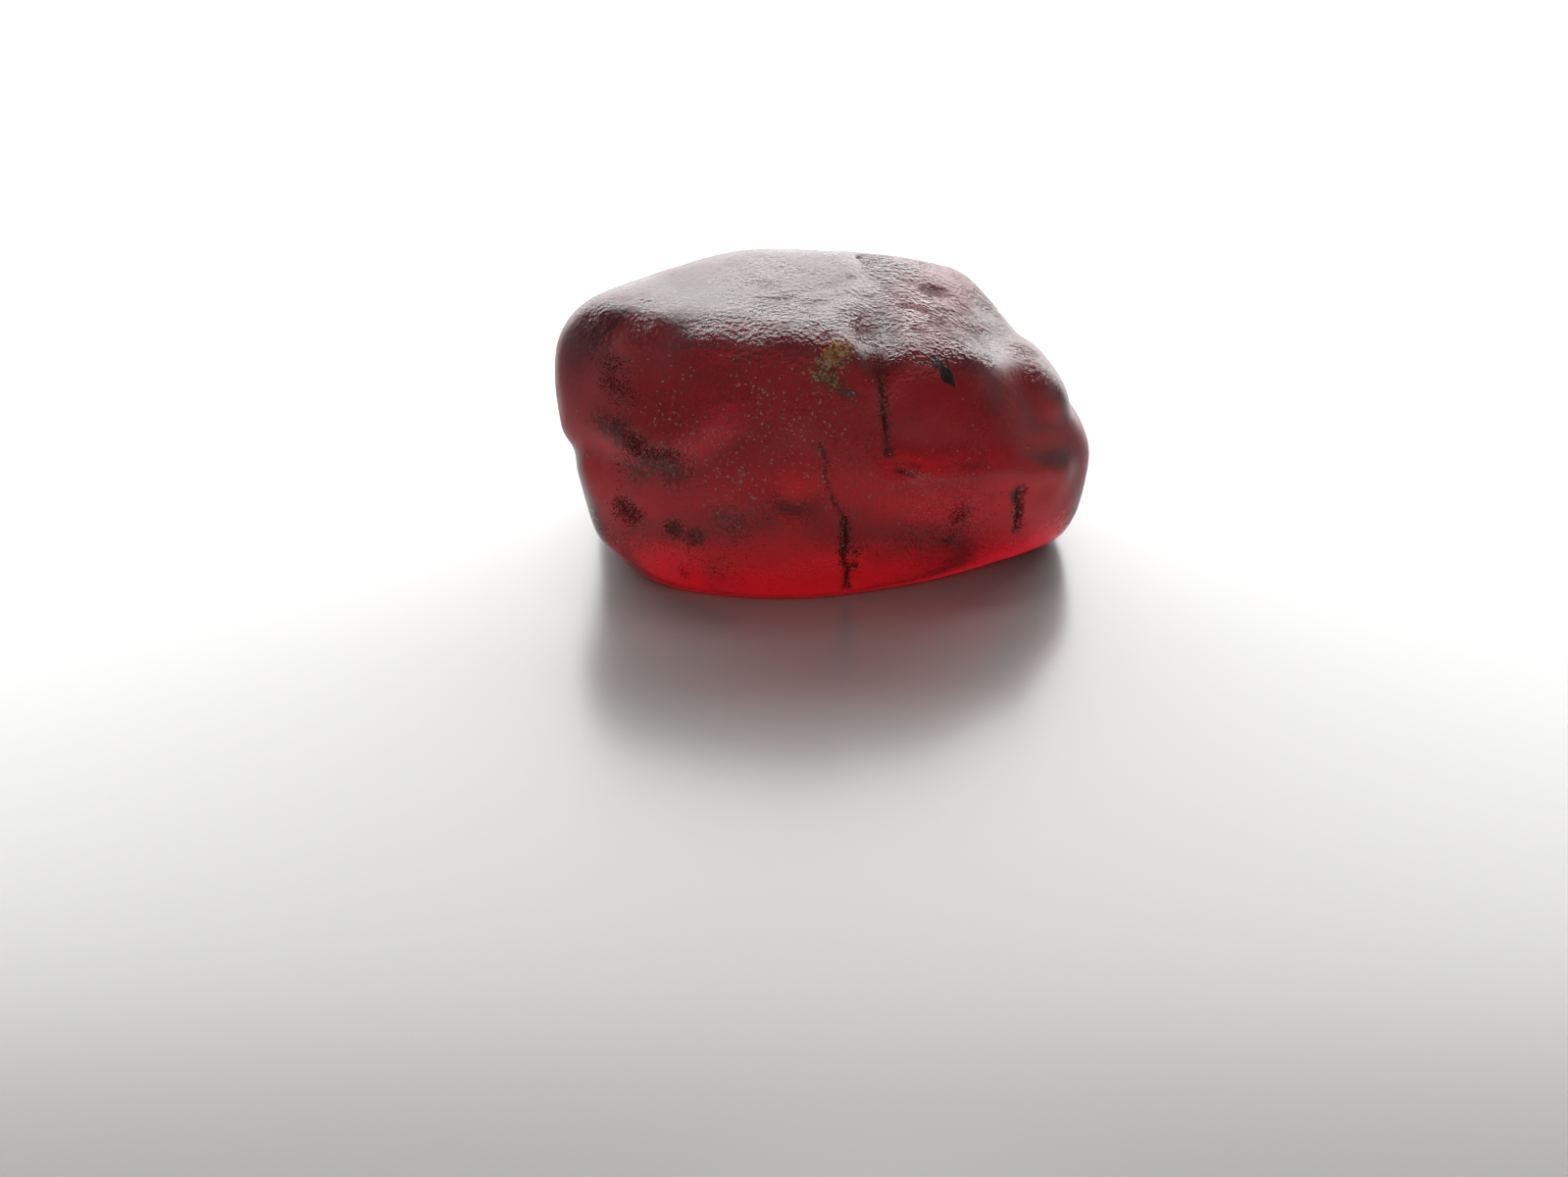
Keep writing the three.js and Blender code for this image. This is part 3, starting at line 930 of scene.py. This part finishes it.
def frosting(points):
    """How frosted the skin is, from 0 on the clear facet to 1 on the worn edges."""
    clear = near_spot(points, *CLEAR_FACET)
    clear += 0.7 * near_spot(points, *ARCHED_PANEL)
    clear += 0.6 * np.clip(1.0 - points[:, 2] / 3.5, 0.0, 1.0)
    patchy = 0.75 + 0.25 * lumps(points, 2.2, 61)
    return np.clip(patchy - 0.7 * clear, 0.0, 1.0)


def haze(points):
    """How much pale haze lies on the skin, from 0 on the clear facet and low down to 1 at the left end, on
    the right lobe and in the band under the clear facet."""
    cloud = 0.25 + 0.45 * np.clip((points[:, 2] - 7.0) / 4.0, 0.0, 1.0)
    for middle, reach, share in HAZY_SPOTS:
        cloud += share * near_spot(points, middle, reach)
    cloud += 0.45 * near_path(points, HAZY_BAND, 0.6)
    cloud -= 0.6 * near_spot(points, *CLEAR_FACET)
    cloud -= 0.3 * near_spot(points, *ARCHED_PANEL)
    cloud -= 0.4 * np.clip(1.0 - points[:, 2] / 3.5, 0.0, 1.0)
    return np.clip(cloud * (0.9 + 0.5 * lumps(points, 0.9, 65) + 0.3 * lumps(points, 0.35, 66)), 0.0, 1.0)


def crushed(points):
    """How finely crushed the skin is, so that it scatters the stone's own red: strong on the scaly facet, the
    ridge and the top's left end, and growing evenly from the front round to the back."""
    top = np.clip((points[:, 2] - 10.5) / 0.8, 0.0, 1.0)
    ends = 0.4 * np.clip((-5.0 - points[:, 0]) / 3.0, 0.0, 1.0)
    ends = ends + 0.8 * np.clip((points[:, 0] - 2.2) / 2.0, 0.0, 1.0)
    front = 0.4 * near_path(points, FRONT_EDGE, 1.2)
    cloud = np.maximum(top * ends, front) + 0.6 * near_spot(points, *CRUSHED_LOBE)
    cloud = cloud * (0.85 + 0.5 * lumps(points, 1.3, 67) + 0.4 * lumps(points, 0.5, 68))
    away = np.clip((points[:, 1] + 5.0) / 6.0, 0.0, 1.0)
    return np.clip(np.maximum(cloud, 0.30 * away * (0.95 + 0.15 * lumps(points, 2.4, 70))), 0.0, 1.0)


def crazed(points):
    """How crazed the skin is, and how strongly it carries a painted red glow for light leaving the stone, at
    the left end and the right lobe.
    """
    cloud = np.zeros(len(points))
    for middle, reach, share in CRAZE_AND_PAINTED_GLOW_SPOTS:
        cloud += share * near_spot(points, middle, reach)
    return np.clip(cloud * (0.9 + 0.35 * lumps(points, 1.1, 69)), 0.0, 1.0)


def rust_marks(points):
    """How much rust lies in the skin, from 0 to 1: soft stains, the belt in the left groove, the cracks."""
    wander = 0.15 * wandering(points, 0.5, 51)
    marks = 1.1 * near_path(points + wander, BELT, 0.65)
    for middle, reach, darkness in STAINS:
        marks = np.maximum(marks, darkness * near_spot(points + wander, middle, (reach, reach, reach)))
    for path, half_width, _, darkness in CRACKS:
        marks = np.maximum(marks, 1.2 * darkness * near_path(points + wander, path, half_width))
    return np.clip(marks, 0.0, 1.0)


def build_stone(looks):
    """The worn skin on a fine closed net, moved in and out along its own directions by the relief."""
    points, faces = cube_ball(looks.cuts)
    skin = skin_points(unit(points * BALL_STRETCH))
    outward = skin_directions(skin)
    on_rest = skin[:, 2] < 0.02
    depth = np.where(on_rest, 0.0, relief(skin)) * looks.relief
    shaped = skin + depth[:, None] * outward
    shaped[:, 2] = np.maximum(shaped[:, 2], 0.0)
    stone = put_mesh("garnet_stone", shaped, faces, worn_garnet(looks))
    # The crazed painter also sets the painted red glow.
    painters = {
        "frost": frosting, "haze": haze, "scales": scaled,
        "blush": crushed, "painted_glow": crazed, "rust": rust_marks,
    }
    for name, painter in painters.items():
        put_attribute(stone, name, painter(skin))
    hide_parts("garnet_crystal")
    return stone


def resample(path, count):
    """Evenly spread places on a path of straight steps, rounded by a short running mean."""
    path = np.asarray(path, float)
    reach = np.concatenate([[0.0], np.cumsum(np.linalg.norm(np.diff(path, axis=0), axis=1))])
    t = np.linspace(0, reach[-1], count)
    line = np.stack([np.interp(t, reach, path[:, k]) for k in range(3)], -1)
    soft = line.copy()
    soft[1:-1] = (line[:-2] + 2 * line[1:-1] + line[2:]) / 4
    return soft


def build_film(name, film, material):
    """A film under a path: the path is laid on the skin and sunk by the film's half depth and its cover, and
    carries a thin ellipse whose width swells unevenly along it. An upright film wanders sideways and stands
    square to the skin, and one that is not upright lies flat under it."""
    path, half_depth, half_thickness, cover, seed, upright = film
    line = resample(path, 48)
    if upright:
        line = line + 0.07 * wandering(line, 0.45, seed)
    skin = skin_points(unit(line - HEART))
    outward = skin_directions(skin)
    t = np.linspace(0, 1, len(line))
    swell = np.clip(1.0 - (2 * t - 1) ** 2, 0.0004, 1.0) ** (0.4 if upright else 0.9)
    swell = swell * np.clip(1.0 + 0.8 * lumps(line, 0.4, seed), 0.15, 2.0)
    across, thick = half_depth * swell, half_thickness * swell
    sunk = across if upright else thick
    centre = skin - outward * (sunk + cover)[:, None]
    side = outward if upright else np.cross(outward, np.gradient(line, axis=0))
    points, faces = sweep(centre, across, thick, 20, side)
    return put_mesh(name, points, faces, material)


def build_crumbs(name, clusters, depth, seed, material):
    """One piece of many closed crumbs, laid cluster by cluster at a depth under the skin and pressed to half
    their height; each crumb is from half to one and a half times its cluster's crumb size."""
    rng = np.random.default_rng(seed)
    laid = [
        scatter_on_skin(path, reach, count, depth, seed + k)
        for k, (path, reach, count, _) in enumerate(clusters)
    ]
    places = np.concatenate([place for place, _ in laid])
    outward = np.concatenate([direction for _, direction in laid])
    sizes = np.concatenate([np.full(count, size) for _, _, count, size in clusters])
    points, faces = crumbs(places, outward, sizes * rng.uniform(0.5, 1.5, len(sizes)), 0.5, seed)
    return put_mesh(name, points, faces, material)


class GARNET_OT_stone(bpy.types.Operator):
    """Builds the worn, frosted stone"""

    bl_idname = "garnet.stone"
    bl_label = "Stone"

    def execute(self, context):
        build_stone(context.scene.garnet_stone)
        return {"FINISHED"}


class GARNET_OT_films(bpy.types.Operator):
    """Builds the rusty films in the three cracks and the rust crumbs in the skin"""

    bl_idname = "garnet.films"
    bl_label = "Crack films"

    def execute(self, context):
        rust = dull_mineral("rust_film")
        for name, film in CRACK_FILMS.items():
            build_film(name, film, rust)
        build_crumbs("rust_crumbs", RUST_CRUMBS, 0.0, 201, dull_mineral("rust_crust"))
        return {"FINISHED"}


class GARNET_OT_inclusions(bpy.types.Operator):
    """Builds the amber mineral and the dark lens under the skin, and the pale grains in it"""

    bl_idname = "garnet.inclusions"
    bl_label = "Inclusions"

    def execute(self, context):
        build_crumbs("amber_inclusion", AMBER, 0.02, 301, dull_mineral("amber_mineral"))
        build_film("dark_lens", LENS_FILM, dull_mineral("dark_lens_mineral"))
        build_crumbs("pale_grains", PALE_GRAINS, 0.0, 401, dull_mineral("pale_mineral"))
        return {"FINISHED"}


class GARNET_OT_stage(bpy.types.Operator):
    """Builds the plain pale floor, the soft light and the camera"""

    bl_idname = "garnet.stage"
    bl_label = "Stage"

    def execute(self, context):
        build_stage(context.scene, context.scene.garnet_stage)
        return {"FINISHED"}


def build_stage(scene, stage):
    """A wide level floor just under the stone, a broad light behind it, a soft light on each side, a small
    one high up behind, even room light, and the camera."""
    floor_mesh = bpy.data.meshes.new("floor")
    corners = [(x * FLOOR_HALF, y * FLOOR_HALF) for x, y in ((-1, -1), (1, -1), (1, 1), (-1, 1))]
    floor_mesh.from_pydata([(x, y, FLOOR_LEVEL) for x, y in corners], [], [(0, 1, 2, 3)])
    floor_mesh.materials.append(pale_laminate(stage.floor_hex, stage.floor_roughness))
    floor = bpy.data.objects.new("floor", floor_mesh)
    scene.collection.objects.link(floor)

    world = bpy.data.worlds.new("room")
    world.use_nodes = True
    world.node_tree.nodes["Background"].inputs["Color"].default_value = (1.0, 1.0, 1.0, 1.0)
    world.node_tree.nodes["Background"].inputs["Strength"].default_value = stage.fill
    scene.world = world

    brightness = {
        "window": stage.window, "left_side": stage.left, "right_side": stage.right, "sky": stage.sky
    }
    for name, (place, aim, width, height) in LAMPS.items():
        put_lamp(scene, name, place, aim, width, height, brightness[name])

    camera = bpy.data.objects.new("camera", bpy.data.cameras.new("camera"))
    camera.data.sensor_fit = "HORIZONTAL"
    camera.data.angle = stage.view_width
    camera.data.clip_start = 0.001
    camera.data.clip_end = 10.0
    camera.location = stage.camera_place
    camera.rotation_euler = (math.radians(90) - stage.view_tilt, 0.0, 0.0)
    scene.collection.objects.link(camera)
    scene.camera = camera
    scene.view_settings.view_transform = "Standard"


def put_lamp(scene, name, place, aim, width, height, radiance):
    """A flat soft light of a given size that faces a point; its power is its radiance times its area times
    pi."""
    lamp_data = bpy.data.lights.new(name, "AREA")
    lamp_data.shape = "RECTANGLE"
    lamp_data.size = width
    lamp_data.size_y = height
    lamp_data.energy = radiance * width * height * math.pi
    lamp = bpy.data.objects.new(name, lamp_data)
    lamp.location = place
    gap = [a - p for a, p in zip(aim, place)]
    tilt = math.atan2(math.hypot(gap[0], gap[1]), -gap[2])
    lamp.rotation_euler = (tilt, 0.0, math.atan2(gap[1], gap[0]) - math.pi / 2)
    lamp.visible_camera = False
    scene.collection.objects.link(lamp)
    return lamp


class GARNET_PT_panel(bpy.types.Panel):
    """Lists the settings and the builders"""

    bl_idname = "GARNET_PT_panel"
    bl_label = "Garnet Crystal"
    bl_space_type = "VIEW_3D"
    bl_region_type = "UI"
    bl_category = "Garnet"

    def draw(self, context):
        for group in (context.scene.garnet_stone, context.scene.garnet_stage):
            box = self.layout.box()
            for key in group.__annotations__:
                box.prop(group, key)
        for kind in OPERATORS:
            self.layout.operator(kind.bl_idname)


OPERATORS = (GARNET_OT_stone, GARNET_OT_films, GARNET_OT_inclusions, GARNET_OT_stage)
CLASSES = (GarnetStoneSettings, GarnetStageSettings, *OPERATORS, GARNET_PT_panel)


def register():
    """Registers the classes and hangs the settings on the scene."""
    for kind in CLASSES:
        bpy.utils.register_class(kind)
    bpy.types.Scene.garnet_stone = PointerProperty(type=GarnetStoneSettings)
    bpy.types.Scene.garnet_stage = PointerProperty(type=GarnetStageSettings)


def unregister():
    """Takes the settings off the scene and unregisters the classes."""
    del bpy.types.Scene.garnet_stage
    del bpy.types.Scene.garnet_stone
    for kind in reversed(CLASSES):
        bpy.utils.unregister_class(kind)


def main():
    """Builds every piece and the stage."""
    register()
    bpy.ops.garnet.stone()
    bpy.ops.garnet.films()
    bpy.ops.garnet.inclusions()
    bpy.ops.garnet.stage()


if __name__ == "__main__":
    main()
